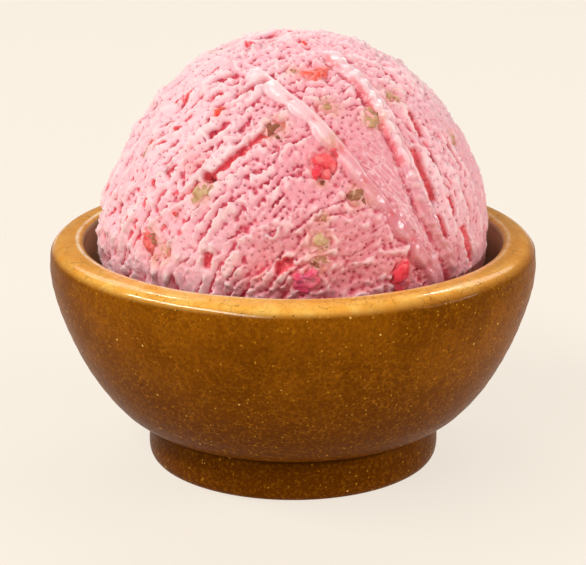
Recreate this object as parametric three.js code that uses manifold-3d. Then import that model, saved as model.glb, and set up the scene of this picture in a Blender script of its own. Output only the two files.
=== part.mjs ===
// A round scoop of cherry and pistachio ice cream in its small footed stoneware bowl.
// Millimetres, +Z up. The bowl stands on z = 0 with its axis on Z, and the scoop's best side faces -Y.
// Places on the scoop are [azimuth, elevation] in degrees from its centre: azimuth 0 is the front,
// positive to the right, and elevation 90 is the top.

import * as THREE from 'three';
import { mergeVertices } from 'three/addons/utils/BufferGeometryUtils.js';
import Module from 'manifold-3d';

const wasm = await Module();
wasm.setup();

// ---- the bowl ----

const BOWL_RADIUS = 45;
const BOWL_HEIGHT = 42.4;
const WIDEST_Z = 37.6;
const SHOULDER_R = 44.75; // where the lip's outer rounding starts
const SHOULDER_Z = 40.3;
const LIP_OUTER_R = 43.1; // outer end of the lip's flat top
const LIP_OUTER_Z = 42.0;
const LIP_CREST_R = 39.9; // inner end of the flat top, the highest ring
const LIP_INNER_R = 38.7;
const LIP_INNER_Z = 41.2;
const INNER_WALL_R = 38.4;
const INNER_WALL_Z = 37.5;
const FLOOR_R = 9;
const FLOOR_Z = 9.6;
const FOOT_HEIGHT = 7.1;
const FOOT_TOP_R = 26.75;
const FOOT_BELLY_R = 27.3;
const FOOT_BELLY_Z = 2.4;
const FOOT_EDGE_R = 25.9;
const FOOT_INNER_R = 21.4;
const RECESS_R = 20.6;
const RECESS_DEPTH = 3;
const BODY_START_R = 27.2; // just outside the crease above the foot
const BODY_START_Z = 8.0;
const BOWL_SEGMENTS = 64;
const CURVE_STEPS = 4;
const WALL_STEPS = 8;

// ---- the scoop ----

const SCOOP_RADIUS = 35.3;
const SCOOP_CENTRE = new THREE.Vector3(0.4, 0, 44.4);
const SCOOP_BASE_Z = FLOOR_Z + 0.35; // the flattened underside, just clear of the bowl's floor
const SCOOP_DETAIL = 17; // subdivisions of the ball's faces
const FACE_FOCUS = 0.3; // how strongly the faces gather on the dome above the rim

// broad swells and hollows of the ball: place, reach in degrees, height
const SWELLS = [
  { at: [-90, 38], reach: 28, height: -1.2 },
  { at: [-80, -8], reach: 20, height: 1.1 },
  { at: [90, 42], reach: 26, height: -0.5 },
  { at: [150, 20], reach: 30, height: 0.6 },
  { at: [-150, 30], reach: 26, height: -0.6 },
];

// The scoop's spade left curved rows of flakes. They circle the point SPADE_TURN on the left and
// in the middle, and run down the ball on the right of the second blade mark.
const SPADE_TURN = [31, -28];
const RIGHT_ROWS_FROM = 37;
const RIGHT_ROWS_FADE = [75, 115];
const RIGHT_ROWS_ORIGIN = [95, 78]; // azimuth and turn angle that share one row
const STEP_PITCH = 5.8; // from one big step to the next
const STEP_HEIGHT = 1.7;
const STEP_WANDER = 2.6;
const LUMP_SIZE = 5;
const LUMP_HEIGHT = 0.6;

// the two raised marks of the scoop's blade, from the top of the ball down to the rim
const BLADE_MARKS = [
  {
    path: [[-41, 67], [-1, 51], [13, 39], [25, 21], [39, 1], [45, -6]],
    halfWidth: 2.5,
    height: 0.75,
  },
  {
    path: [[24, 76], [33, 59], [36, 40], [37, 25], [41, 9], [47, -4]],
    halfWidth: 1.7,
    height: 0.95,
  },
];

// deep tears between the flakes: ends, half width, depth
const TEARS = [
  { ends: [[-29, 26], [-16, 38]], halfWidth: 1.3, depth: 1.6 },
  { ends: [[-17, 37], [-9, 43]], halfWidth: 1.1, depth: 1.1 },
  { ends: [[-59, 50], [-59, 46]], halfWidth: 1.0, depth: 1.0 },
  { ends: [[-38, 63], [-44, 58]], halfWidth: 1.0, depth: 0.9 },
  { ends: [[-38, 54], [-42, 50]], halfWidth: 1.0, depth: 0.9 },
  { ends: [[-14, 60], [-29, 53]], halfWidth: 1.1, depth: 1.0 },
  { ends: [[-54, 42], [-55, 37]], halfWidth: 1.0, depth: 0.8 },
  { ends: [[-43, 29], [-44, 24]], halfWidth: 1.0, depth: 0.8 },
  { ends: [[-55, 17], [-56, 13]], halfWidth: 1.0, depth: 0.8 },
  { ends: [[-62, 9], [-63, 4]], halfWidth: 1.0, depth: 0.8 },
  { ends: [[-25, 6], [-26, 1]], halfWidth: 1.2, depth: 1.0 },
  { ends: [[-1, 5], [-5, 2]], halfWidth: 1.3, depth: 1.4 },
  { ends: [[45, 32], [45, 17]], halfWidth: 1.3, depth: 1.8 },
  { ends: [[56, 20], [55, 12]], halfWidth: 1.1, depth: 1.2 },
  { ends: [[45, 14], [47, 7]], halfWidth: 1.0, depth: 1.1 },
  { ends: [[59, 5], [61, -9]], halfWidth: 1.2, depth: 1.2 },
  { ends: [[48, 45], [49, 40]], halfWidth: 1.1, depth: 1.0 },
  { ends: [[120, 40], [128, 20]], halfWidth: 1.3, depth: 1.4 },
  { ends: [[165, 48], [172, 30]], halfWidth: 1.2, depth: 1.2 },
  { ends: [[-160, 25], [-152, 8]], halfWidth: 1.3, depth: 1.4 },
  { ends: [[-118, 46], [-112, 28]], halfWidth: 1.2, depth: 1.1 },
];

// ---- bits of cherry and pistachio in the scoop's surface: place, length and width, turn ----

const BIT_THICKNESS = 2.4;
const BIT_PROUD = 0.75; // how far a bit's outer face stands above the surface round it
const BIT_JITTER = 0.16;
const FRONT_BITS = [
  { at: [12, 63], size: [4.9, 4.2], turn: 0 },
  { at: [9, 32], size: [5.2, 4.8], turn: 60 },
  { at: [14, 36], size: [2.8, 2.4], turn: 20 },
  { at: [32, -1], size: [5.8, 5.0], turn: 30 },
  { at: [3, -1], size: [4.6, 3.8], turn: 10 },
  { at: [-47, 5], size: [5.6, 3.4], turn: 80 },
  { at: [-33, 47], size: [3.2, 2.2], turn: 40 },
  { at: [-8, 43], size: [3.8, 3.0], turn: 40 },
  { at: [-30, 22], size: [5.6, 3.2], turn: 60 },
  { at: [49, 51], size: [4.2, 3.4], turn: 60 },
  { at: [32, 45], size: [5.4, 3.4], turn: 60 },
  { at: [15, 50], size: [5.0, 3.2], turn: 10 },
  { at: [71, 32], size: [4.4, 3.0], turn: 80 },
  { at: [19, 22], size: [4.0, 3.2], turn: 20 },
  { at: [7, 10], size: [4.6, 3.8], turn: 40 },
  { at: [-45, 7], size: [2.8, 2.4], turn: 70 },
];
const BACK_BITS = 17;
const BACK_BITS_SPREAD = 205; // degrees of azimuth round the back that they cover
const BACK_BITS_SINES = [0.02, 0.95]; // sines of their lowest and highest elevation
const GOLDEN_STEP = 0.618034;
const SIZE_STEP = 0.414214;

// ---- small helpers ----

const lerp = THREE.MathUtils.lerp;
const radians = THREE.MathUtils.degToRad;
const degrees = THREE.MathUtils.radToDeg;
const smoothstep = THREE.MathUtils.smoothstep;
const fraction = (x) => x - Math.floor(x);

function direction([azimuth, elevation]) {
  const [a, e] = [radians(azimuth), radians(elevation)];
  return new THREE.Vector3(Math.sin(a) * Math.cos(e), -Math.cos(a) * Math.cos(e), Math.sin(e));
}

// A repeatable value from -1 to 1 for each point of a whole-number grid, and a smooth field through them.
function gridValue(i, j, k) {
  return fraction(Math.sin(i * 127.1 + j * 311.7 + k * 74.7) * 43758.5453) * 2 - 1;
}

function noise(point, size, shift = 0) {
  const [x, y, z] = [point.x / size + shift, point.y / size, point.z / size];
  const [i, j, k] = [Math.floor(x), Math.floor(y), Math.floor(z)];
  const [u, v, w] = [smoothstep(x - i, 0, 1), smoothstep(y - j, 0, 1), smoothstep(z - k, 0, 1)];
  const layer = (dk) => lerp(
    lerp(gridValue(i, j, k + dk), gridValue(i + 1, j, k + dk), u),
    lerp(gridValue(i, j + 1, k + dk), gridValue(i + 1, j + 1, k + dk), u),
    v,
  );
  return lerp(layer(0), layer(1), w);
}

// Drops everything but the positions, joins the shared corners and leaves out faces with no area.
function weld(geometry) {
  const bare = new THREE.BufferGeometry();
  bare.setAttribute('position', geometry.getAttribute('position'));
  if (geometry.index) bare.setIndex(geometry.index);
  const merged = mergeVertices(bare, 1e-5);
  const corners = [];
  for (let i = 0; i < merged.index.count; i += 3) {
    const face = [0, 1, 2].map((n) => merged.index.getX(i + n));
    if (new Set(face).size === 3) corners.push(...face);
  }
  merged.setIndex(corners);
  return merged;
}

function toSolid(geometry) {
  return new wasm.Manifold(new wasm.Mesh({
    numProp: 3,
    vertProperties: new Float32Array(geometry.getAttribute('position').array),
    triVerts: new Uint32Array(geometry.index.array),
  }));
}

function toGeometry(solid) {
  const mesh = solid.getMesh();
  const geometry = new THREE.BufferGeometry();
  geometry.setAttribute('position', new THREE.BufferAttribute(new Float32Array(mesh.vertProperties), 3));
  geometry.setIndex(new THREE.BufferAttribute(new Uint32Array(mesh.triVerts), 1));
  geometry.computeVertexNormals();
  return geometry;
}

// ---- the bowl: one turned profile, from the middle of the underside over the lip to the floor ----

function bowlProfile() {
  const stretches = [
    new THREE.LineCurve(new THREE.Vector2(0, RECESS_DEPTH), new THREE.Vector2(RECESS_R, RECESS_DEPTH)),
    new THREE.LineCurve(new THREE.Vector2(RECESS_R, RECESS_DEPTH), new THREE.Vector2(FOOT_INNER_R, 0)),
    new THREE.LineCurve(new THREE.Vector2(FOOT_INNER_R, 0), new THREE.Vector2(FOOT_EDGE_R, 0)),
    curve([FOOT_EDGE_R, 0], [FOOT_BELLY_R - 0.1, 0.1], [FOOT_BELLY_R, FOOT_BELLY_Z]),
    curve([FOOT_BELLY_R, FOOT_BELLY_Z], [FOOT_BELLY_R + 0.05, FOOT_HEIGHT / 2 + 1], [FOOT_TOP_R, FOOT_HEIGHT]),
    curve([FOOT_TOP_R, FOOT_HEIGHT], [FOOT_TOP_R - 0.05, BODY_START_Z - 0.1], [BODY_START_R, BODY_START_Z]),
    curve([BODY_START_R, BODY_START_Z], [36.2, 9.1], [BOWL_RADIUS, 29.7], [BOWL_RADIUS, WIDEST_Z]),
    curve([BOWL_RADIUS, WIDEST_Z], [BOWL_RADIUS, WIDEST_Z + 1.5], [SHOULDER_R, SHOULDER_Z]),
    curve([SHOULDER_R, SHOULDER_Z], [SHOULDER_R - 0.3, LIP_OUTER_Z - 0.1], [LIP_OUTER_R, LIP_OUTER_Z]),
    new THREE.LineCurve(new THREE.Vector2(LIP_OUTER_R, LIP_OUTER_Z), new THREE.Vector2(LIP_CREST_R, BOWL_HEIGHT)),
    curve([LIP_CREST_R, BOWL_HEIGHT], [LIP_INNER_R + 0.1, BOWL_HEIGHT], [LIP_INNER_R, LIP_INNER_Z]),
    new THREE.LineCurve(
      new THREE.Vector2(LIP_INNER_R, LIP_INNER_Z),
      new THREE.Vector2(INNER_WALL_R, INNER_WALL_Z),
    ),
    curve([INNER_WALL_R, INNER_WALL_Z], [38.4, 21], [27, FLOOR_Z], [FLOOR_R, FLOOR_Z]),
    new THREE.LineCurve(new THREE.Vector2(FLOOR_R, FLOOR_Z), new THREE.Vector2(0, FLOOR_Z)),
  ];
  const points = [stretches[0].getPoint(0)];
  for (const stretch of stretches) {
    const steps = stretch.isLineCurve ? 1 : stretch.isCubicBezierCurve ? WALL_STEPS : CURVE_STEPS;
    points.push(...stretch.getPoints(steps).slice(1));
  }
  return points;
}

// A round stretch of the profile through its first and last [radius, height], bent towards the others.
function curve(...corners) {
  const points = corners.map(([r, z]) => new THREE.Vector2(r, z));
  return points.length === 3 ? new THREE.QuadraticBezierCurve(...points) : new THREE.CubicBezierCurve(...points);
}

function makeBowl() {
  const geometry = weld(new THREE.LatheGeometry(bowlProfile(), BOWL_SEGMENTS));
  geometry.rotateX(Math.PI / 2);
  return toGeometry(toSolid(geometry));
}

// ---- the scoop: a ball whose radius is worked out for each direction ----

// Distance on the ball's surface from a direction to a line of places, positive above or right of the line.
function lineDistance(dir, line) {
  let nearest = Infinity;
  for (let i = 0; i + 1 < line.length; i++) {
    const [a, b] = [line[i], line[i + 1]];
    const along = new THREE.Vector3().subVectors(b, a);
    const t = THREE.MathUtils.clamp(new THREE.Vector3().subVectors(dir, a).dot(along) / along.lengthSq(), 0, 1);
    const foot = new THREE.Vector3().copy(a).addScaledVector(along, t).normalize();
    const distance = dir.angleTo(foot) * SCOOP_RADIUS;
    if (distance < Math.abs(nearest)) {
      nearest = distance * (dir.dot(new THREE.Vector3().crossVectors(a, b)) < 0 ? -1 : 1);
    }
  }
  return nearest;
}

const swells = SWELLS.map((swell) => ({ ...swell, dir: direction(swell.at) }));
const bladeMarks = BLADE_MARKS.map((mark) => ({ ...mark, line: mark.path.map(direction) }));
const tears = TEARS.map((tear) => ({ ...tear, line: tear.ends.map(direction) }));
const spadeTurn = direction(SPADE_TURN);

function swellHeight(dir) {
  return swells.reduce(
    (sum, swell) => sum + swell.height * Math.exp(-((degrees(dir.angleTo(swell.dir)) / swell.reach) ** 2)),
    0,
  );
}

// How far, in millimetres, a direction lies across the rows of flakes.
function acrossRows(dir) {
  const azimuth = degrees(Math.atan2(dir.x, -dir.y));
  const turned = degrees(dir.angleTo(spadeTurn));
  const level = Math.sqrt(Math.max(1 - dir.z * dir.z, 0));
  const [sharedAzimuth, sharedTurn] = RIGHT_ROWS_ORIGIN;
  const down = (azimuth - sharedAzimuth) * level + sharedTurn;
  const right = smoothstep(azimuth, RIGHT_ROWS_FROM - 1, RIGHT_ROWS_FROM + 1)
    * (1 - smoothstep(azimuth, ...RIGHT_ROWS_FADE));
  return radians(lerp(turned, down, right)) * SCOOP_RADIUS;
}

// Big steps: each rises slowly and ends in a sharp edge that wanders.
function stepHeight(dir, point) {
  const row = (acrossRows(dir) + STEP_WANDER * noise(point, 11, 3)) / STEP_PITCH;
  const rise = fraction(row);
  const edge = rise < 0.8 ? rise / 0.8 : (1 - rise) / 0.2;
  return STEP_HEIGHT * (edge - 0.5) * (0.55 + 0.45 * noise(point, 9, 20));
}

function markHeight(dir) {
  let height = 0;
  let cover = 0;
  for (const mark of bladeMarks) {
    const across = lineDistance(dir, mark.line) / mark.halfWidth;
    const body = across < 0.7 ? smoothstep(across, -1.1, 0.7) : 1 - smoothstep(across, 0.7, 1.15);
    height = Math.max(height, mark.height * body);
    cover = Math.max(cover, 1 - smoothstep(Math.abs(across), 0.9, 1.3));
  }
  return { height, cover };
}

function tearDepth(dir) {
  return tears.reduce((deepest, tear) => {
    const across = Math.abs(lineDistance(dir, tear.line)) / tear.halfWidth;
    return Math.max(deepest, tear.depth * (1 - smoothstep(across, 0.3, 1.4)));
  }, 0);
}

function scoopRadius(dir) {
  const point = dir.clone().multiplyScalar(SCOOP_RADIUS);
  const mark = markHeight(dir);
  const flakes = stepHeight(dir, point) + LUMP_HEIGHT * noise(point, LUMP_SIZE, 50);
  return SCOOP_RADIUS + swellHeight(dir) + flakes * (1 - mark.cover) + mark.height - tearDepth(dir);
}

function makeBall() {
  const geometry = weld(new THREE.IcosahedronGeometry(1, SCOOP_DETAIL));
  const corners = geometry.getAttribute('position');
  const dir = new THREE.Vector3();
  for (let i = 0; i < corners.count; i++) {
    dir.fromBufferAttribute(corners, i).normalize();
    const fromTop = Math.acos(THREE.MathUtils.clamp(dir.z, -1, 1));
    const gathered = fromTop - FACE_FOCUS * Math.sin(fromTop);
    const level = Math.sin(gathered) / Math.max(Math.hypot(dir.x, dir.y), 1e-9);
    dir.set(dir.x * level, dir.y * level, Math.cos(gathered)).normalize();
    const place = dir.clone().multiplyScalar(scoopRadius(dir)).add(SCOOP_CENTRE);
    corners.setXYZ(i, place.x, place.y, Math.max(place.z, SCOOP_BASE_Z));
  }
  return toSolid(geometry);
}

// Places for the bits that the front doesn't show: evenly spread round the back, by the golden ratio.
function backBits() {
  const bits = [];
  for (let i = 0; i < BACK_BITS; i++) {
    const azimuth = 180 + (fraction(i * GOLDEN_STEP) - 0.5) * BACK_BITS_SPREAD;
    const elevation = degrees(Math.asin(lerp(...BACK_BITS_SINES, (i + 0.5) / BACK_BITS)));
    const length = lerp(3.2, 5.4, fraction(i * SIZE_STEP));
    bits.push({ at: [azimuth, elevation], size: [length, length * 0.7], turn: 360 * fraction(i * SIZE_STEP) });
  }
  return bits;
}

// One chopped bit: a rough lump laid flat on the surface and mostly sunk in it.
function makeBit({ at, size, turn }, index) {
  const dir = direction(at);
  const geometry = weld(new THREE.IcosahedronGeometry(1, 0));
  const corners = geometry.getAttribute('position');
  const corner = new THREE.Vector3();
  for (let i = 0; i < corners.count; i++) {
    corner.fromBufferAttribute(corners, i).multiplyScalar(1 + BIT_JITTER * gridValue(i, index, 7));
    corners.setXYZ(i, corner.x * size[0] / 2, corner.y * size[1] / 2, corner.z * BIT_THICKNESS / 2);
  }
  const right = new THREE.Vector3().crossVectors(new THREE.Vector3(0, 0, 1), dir).normalize();
  const up = new THREE.Vector3().crossVectors(dir, right);
  const place = dir.clone().multiplyScalar(scoopRadius(dir) + BIT_PROUD - BIT_THICKNESS / 2).add(SCOOP_CENTRE);
  geometry.rotateZ(radians(turn));
  geometry.applyMatrix4(new THREE.Matrix4().makeBasis(right, up, dir).setPosition(place));
  return toSolid(geometry);
}

function makeScoop() {
  const bits = [...FRONT_BITS, ...backBits()].map(makeBit);
  return toGeometry(bits.reduce((whole, bit) => whole.add(bit), makeBall()));
}

// ---- the parts and their finishes ----

function addPart(name, geometry, color, roughness, metalness) {
  const mesh = new THREE.Mesh(geometry, new THREE.MeshStandardMaterial({ color, roughness, metalness }));
  mesh.name = name;
  whole.add(mesh);
}

const whole = new THREE.Group();
whole.name = 'ice_cream_bowl';
addPart('bowl', makeBowl(), 0x8f5614, 0.18, 0);
addPart('ice_cream', makeScoop(), 0xf0a9b0, 0.6, 0);

export default whole;
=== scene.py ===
"""A round scoop of cherry and pistachio ice cream in its footed stoneware bowl.

Shapes are worked out in millimetres and scaled to metres when a piece is made. A place on the scoop is an
azimuth and an elevation in degrees: azimuth 0 is the front, 90 the right, and elevation 90 the top. Seeds and
shifts of noise are plain numbers that only pick one pattern out of many.
"""

import math
from collections import namedtuple

import bmesh
import bpy
import numpy as np
from mathutils import Matrix, Vector
from mathutils.kdtree import KDTree


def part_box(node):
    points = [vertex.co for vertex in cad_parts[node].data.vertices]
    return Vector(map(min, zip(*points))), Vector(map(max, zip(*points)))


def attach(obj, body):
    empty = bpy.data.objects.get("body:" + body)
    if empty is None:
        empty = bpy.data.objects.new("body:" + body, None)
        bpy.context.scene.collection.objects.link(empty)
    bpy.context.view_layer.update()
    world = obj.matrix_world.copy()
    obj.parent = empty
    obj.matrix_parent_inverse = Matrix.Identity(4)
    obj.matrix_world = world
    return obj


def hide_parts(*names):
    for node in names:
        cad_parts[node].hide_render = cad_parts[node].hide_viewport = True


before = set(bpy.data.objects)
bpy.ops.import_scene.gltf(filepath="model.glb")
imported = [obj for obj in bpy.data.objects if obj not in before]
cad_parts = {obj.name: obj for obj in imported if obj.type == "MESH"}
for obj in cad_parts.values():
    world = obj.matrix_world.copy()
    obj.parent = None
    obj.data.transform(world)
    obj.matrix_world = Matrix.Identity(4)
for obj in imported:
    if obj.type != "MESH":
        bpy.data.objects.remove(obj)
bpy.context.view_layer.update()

MM = 0.001
BODY = "root"

# ---- sizes of the bowl ----

bowl_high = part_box("bowl")[1]
BOWL_RADIUS = bowl_high.x / MM
BOWL_HEIGHT = bowl_high.z / MM
WIDEST_Z = BOWL_HEIGHT - 4.8
SHOULDER = (BOWL_RADIUS - 0.25, BOWL_HEIGHT - 2.1)
LIP_OUTER = (BOWL_RADIUS - 1.9, BOWL_HEIGHT - 0.4)
LIP_CREST = (BOWL_RADIUS - 5.1, BOWL_HEIGHT)
LIP_INNER = (BOWL_RADIUS - 6.3, BOWL_HEIGHT - 1.2)
INNER_WALL = (BOWL_RADIUS - 6.6, BOWL_HEIGHT - 4.9)
FLOOR = (9.0, 9.6)
FOOT_HEIGHT = 7.1
FOOT_TOP_R = 26.75
FOOT_BELLY = (27.3, 2.4)
FOOT_EDGE_R = 25.9
FOOT_INNER_R = 21.4
RECESS = (20.6, 3.0)
BODY_START = (27.2, 8.0)
BOWL_STEPS = 288
GLAZE_UNEVEN = 0.11
THROWING_RINGS = 0.035
LIP_UNEVEN = 0.09
# Radii of a band of painted shade across the lip and of a line of painted highlight along its inner edge.
SHADE_BAND_R = BOWL_RADIUS - 3.9
HIGHLIGHT_LINE_R = BOWL_RADIUS - 5.2

# ---- sizes of the scoop ----

SCOOP_RADIUS = 35.3
SCOOP_CENTRE = np.array([0.4, 0.0, 44.4])
SCOOP_BASE_Z = FLOOR[1] + 0.35

# wide swellings and flats of the ball: place, reach in degrees, height
SWELLS = [
    ((-90, 38), 28, -1.2),
    ((-80, -8), 20, 1.1),
    ((90, 42), 26, -0.5),
    ((150, 20), 30, 0.6),
    ((-150, 30), 26, -0.6),
]
# The spade turned about this place, and its steps and rows of flakes run round it. Right of the blade marks
# they run down instead: the azimuths where that sets in and fades out, and where these rows are counted from.
SPADE_TURN = (31, -28)
RIGHT_ROWS_FROM = (36, 38)
RIGHT_ROWS_FADE = (75, 115)
RIGHT_ROWS_ORIGIN = (95, 78)

# parts of the scoop that the spade left calmer or rougher: a place and its reach in degrees
BETWEEN_MARKS = ((27, 38), 14)
LOW_FRONT = ((18, 5), 21)
LOW_LEFT = ((-35, -6), 16)
BROAD_FLAKES = ((10, 12), 15)
WHIRL = ((SPADE_TURN[0] - 180, -SPADE_TURN[1]), 24)
WHIRL_BEND = 8
# the degrees between which its sides and its upper part set in or end
LEFT_SIDE = (22, 42)
LEFT_SIDE_LEAN = 0.35
RIGHT_SIDE = (38, 46)
RIGHT_SIDE_TOP = (38, 52)
RIGHT_SIDE_END = (80, 110)
ABOVE_LIP = (-2, 14)
# the heights, for a ball of radius 1, between which the relief sets in, and the share of it further down
HIDDEN_IN_BOWL = (-0.26, -0.12)
HIDDEN_RELIEF = 0.1
# the share of their height that steps and rows lose in each part
STEP_CALM = {"between": 0.5, "right": 0.5, "low": 0.8, "whirl": 0.8}
ROW_CALM = {"right_front": 0.75, "between": 0.35, "left": 0.65, "whirl": 0.7, "low": 0.6}

STEP_PITCH = 5.8
STEP_HEIGHT = 1.3
STEP_EDGE = 0.1
STEP_WANDER = 2.6
STEP_CURL = 0.6
ROW_PITCH = 2.0
ROW_HEIGHT = 0.95
ROW_FALL = 0.14
ROW_CURL = 0.25
PAD_PITCH = 2.7
PAD_LENGTH = 2.4
PAD_HEIGHT = 0.85
LUMP_HEIGHT = 0.55

# ---- the two raised marks of the spade's blade ----

LEFT_LOBE = 6.4
LEFT_MARK_WIDTH = (2.0, 3.0)
LEFT_MARK_HEIGHT = (0.45, 0.83)
NOTCH_DEPTH = 0.35
RIGHT_BEAD = 2.5
RIGHT_MARK_HEIGHT = 0.95
RIGHT_MARK_WIDTH = (0.85, 1.75)
SHELF_HEIGHT = 0.42
SHELF_WIDTH = 1.35
WEB_HEIGHT = 0.26
WEB_ENDS = ((20, 32), (40, 3))
# the crest of the left blade mark and the middle of the right one's beads, from the top of the ball down
BLADE_CREST = [
    (-46, 67), (-18, 62), (-5, 55.5), (3, 51), (10, 45), (14.5, 39.5), (20, 32), (22.5, 27.3), (29, 18),
    (34, 11.4), (40, 3), (46, -5),
]
BLADE_BEADS = [
    (33, 76), (33, 65), (36.8, 57.5), (38, 50), (38, 41), (38.8, 30), (39.2, 23), (40.5, 18), (43, 12),
    (48, 3.5), (52, -5),
]

# Torn slots. Their sheer side is on the right of the line through their ends. After the ends come the width,
# the depth, how red it is, partly its own red and partly painted shade darkest by its sheer side, and for
# some how wide its floor is and how ragged its edge.
Tear = namedtuple("Tear", "ends width depth red floor ragged", defaults=(0.5, 0.8))
TEARS = [Tear(*row) for row in (
    (((-30, 25.4), (-26, 29), (-16, 38)), 0.6, 1.7, 1.0),
    (((-30.6, 24.8), (-26.4, 28.4)), 1.0, 2.5, 1.5),
    (((-40, 17), (-30, 26)), 0.5, 0.8, 0.3),
    (((-18, 36.5), (-9, 42)), 0.6, 1.2, 0.75),
    (((-59, 45), (-59, 51)), 0.55, 0.9, 0.4),
    (((-46, 57), (-37, 63.5)), 0.6, 0.9, 0.45),
    (((-43, 49), (-37, 55)), 0.65, 0.9, 0.5),
    (((-31, 52), (-13, 61)), 0.6, 0.9, 0.4),
    (((-55, 36), (-54, 43)), 0.5, 0.8, 0.35),
    (((-44, 23), (-43, 30)), 0.5, 0.8, 0.35),
    (((-49, 19), (-48, 23)), 0.5, 0.7, 0.35),
    (((-56, 12), (-55, 18)), 0.6, 0.9, 0.35),
    (((-63, 3), (-62, 10)), 0.6, 0.9, 0.35),
    (((-34, 38), (-26, 45)), 0.6, 0.8, 0.4),
    (((-26, 0), (-25, 7)), 0.8, 1.1, 0.5),
    (((-6, 1.5), (0, 5.5)), 0.9, 1.4, 0.6),
    (((43, 35), (42.8, 27), (45.6, 16)), 0.8, 1.15, 1.0, 1.8, 0.35),
    (((46, 14), (48.8, 5)), 0.6, 1.0, 0.85, 1.0, 0.35),
    (((53.5, 18.5), (53.8, 10.5)), 0.6, 0.8, 0.85, 1.4, 0.35),
    (((58, 8.5), (62, -6)), 0.55, 0.8, 0.8, 1.4, 0.35),
    (((51.5, 46), (51.6, 35)), 0.7, 1.1, 0.6),
    (((64, 36), (66, 22)), 0.5, 0.9, 0.4),
    (((52, 33), (53, 24)), 0.4, 0.8, 0.3),
    (((120, 42), (129, 18)), 0.9, 1.4, 0.6),
    (((150, 12), (158, -2)), 0.7, 1.0, 0.4),
    (((163, 50), (173, 28)), 0.8, 1.2, 0.5),
    (((-152, 6), (-161, 27)), 0.9, 1.4, 0.6),
    (((-111, 26), (-118, 48)), 0.8, 1.1, 0.4),
    (((-95, 8), (-97, 20)), 0.6, 0.9, 0.4),
)]

# short slots torn along the rows: one in each cell of a loose grid, across and along the rows
SLOT_CELL = (2.1, 4.2)
SLOT_HALF = (0.6, 2.8)
SLOT_WIDTH = 0.38
SLOT_DEPTH = 0.95

PORE_COUNT = 10500
PORE_DEPTH = 0.22
PORE_SIZE = 0.17
PORE_DIP = 0.3
PORE_DIP_REACH = 0.5
PORE_SEED = 5
PORE_JITTER = 0.009
AROUND_ROUNDS = 24

BALL_DETAIL = 6
SHOWS_ABOVE = -8.5
FRONT = (0, 17)
FRONT_REACH = 70
FRONT_CUTS = 4
BACK_CUTS = 2

# ---- bits of cherry and pistachio: place, length and width, turn, tone, how far they stand out ----

Bit = namedtuple("Bit", "at size turn tone proud", defaults=(0, 0.5, 0.5))

BIT_THICKNESS = 2.6
POCKET_DEPTH = 0.35
POCKET_RIM = (-0.35, 0.3)
CHOP_LIMITS = (0.5, 0.85)
GRAIN_HEIGHT = 0.2
GRAIN_SIZE = 0.4
CHERRY_STAIN_REACH = 0.7
NUT_STAIN_REACH = 0.6
CHERRY_BITS = [Bit(*row) for row in (
    ((12, 63), (4.9, 4.4), 0, 0.0, 0.75),
    ((9, 32), (5.2, 4.8), 60, 0.45, 0.9),
    ((14, 36), (2.8, 2.2), 20, 0.6, 0.6),
    ((32, -1), (5.8, 5.0), 30, 0.65, 0.9),
    ((3, -1), (4.6, 3.8), 10, 1.0, 0.8),
    ((-47, 5), (5.6, 3.2), 80, 0.1, 0.5),
    ((12, 81), (1.8, 1.4), 0, 0.2, 0.5),
    ((-33, 47), (3.0, 1.8), 40, 0.1, 0.5),
    ((-37, 15), (1.5, 1.0), 50, 0.3, 0.4),
)]
PISTACHIO_BITS = [Bit(*row) for row in (
    ((-8, 43), (3.8, 3.0), 40, 1.0, 0.5),
    ((-30, 22), (5.6, 3.0), 60, 0.1, 0.45),
    ((-60, 31), (4.0, 1.6), 75, 0.3, 0.4),
    ((49, 51), (4.2, 3.0), 60, 0.4, 0.4),
    ((32, 45), (5.4, 3.0), 60, 0.5, 0.5),
    ((15, 50), (5.0, 3.0), 10, 0.4, 0.1),
    ((13, 38), (2.2, 1.8), 10, 0.5, 0.3),
    ((71, 32), (4.4, 2.0), 80, 0.4, 0.4),
    ((19, 22), (3.8, 3.2), 20, 1.0, 0.6),
    ((7, 10), (4.6, 3.6), 40, 0.3, 0.1),
    ((7, 5), (3.8, 2.4), 10, 0.8, 0.5),
    ((-45, 7), (2.4, 2.2), 70, 0.9, 0.6),
    ((-43, 1), (1.6, 1.2), 20, 0.9, 0.4),
    ((-40, 4), (2.6, 2.4), 20, 0.2, 0.1),
    ((8, 17), (2.2, 1.2), 15, 0.3, 0.3),
    ((8, 27), (1.2, 1.0), 15, 0.9, 0.4),
    ((-1, 64), (2.0, 1.8), 15, 0.6, 0.4),
)]
JUICE_STAINS = [Bit(*row) for row in (
    ((-35.5, 30.5), (3.8, 3.4)),
    ((-10, 1), (3.8, 3.4)),
    ((38, -3), (3.8, 3.0)),
)]
BACK_BITS = 17
BACK_BITS_SPREAD = 205
BACK_BITS_REACH = 85
BACK_BITS_SINES = (0.02, 0.95)
BACK_BITS_LENGTH = (2.8, 4.6)
BACK_BITS_PROUD = 0.05
GOLDEN_STEP = 0.618034
SIZE_STEP = 0.414214

# ---- camera, from the photograph's perspective, and lights ----

CAMERA_DISTANCE = 0.3975
CAMERA_HEIGHT = 0.1571
CAMERA_PITCH = 0.303
CAMERA_LENS = 137.2
SENSOR_WIDTH = 36.0
FLOOR_RADIUS = 3.0
LIGHTS_AIM = (0, 0, 0.045)
WORLD_STRENGTH = 0.22
WARM_WHITE = (249, 240, 227)
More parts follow.
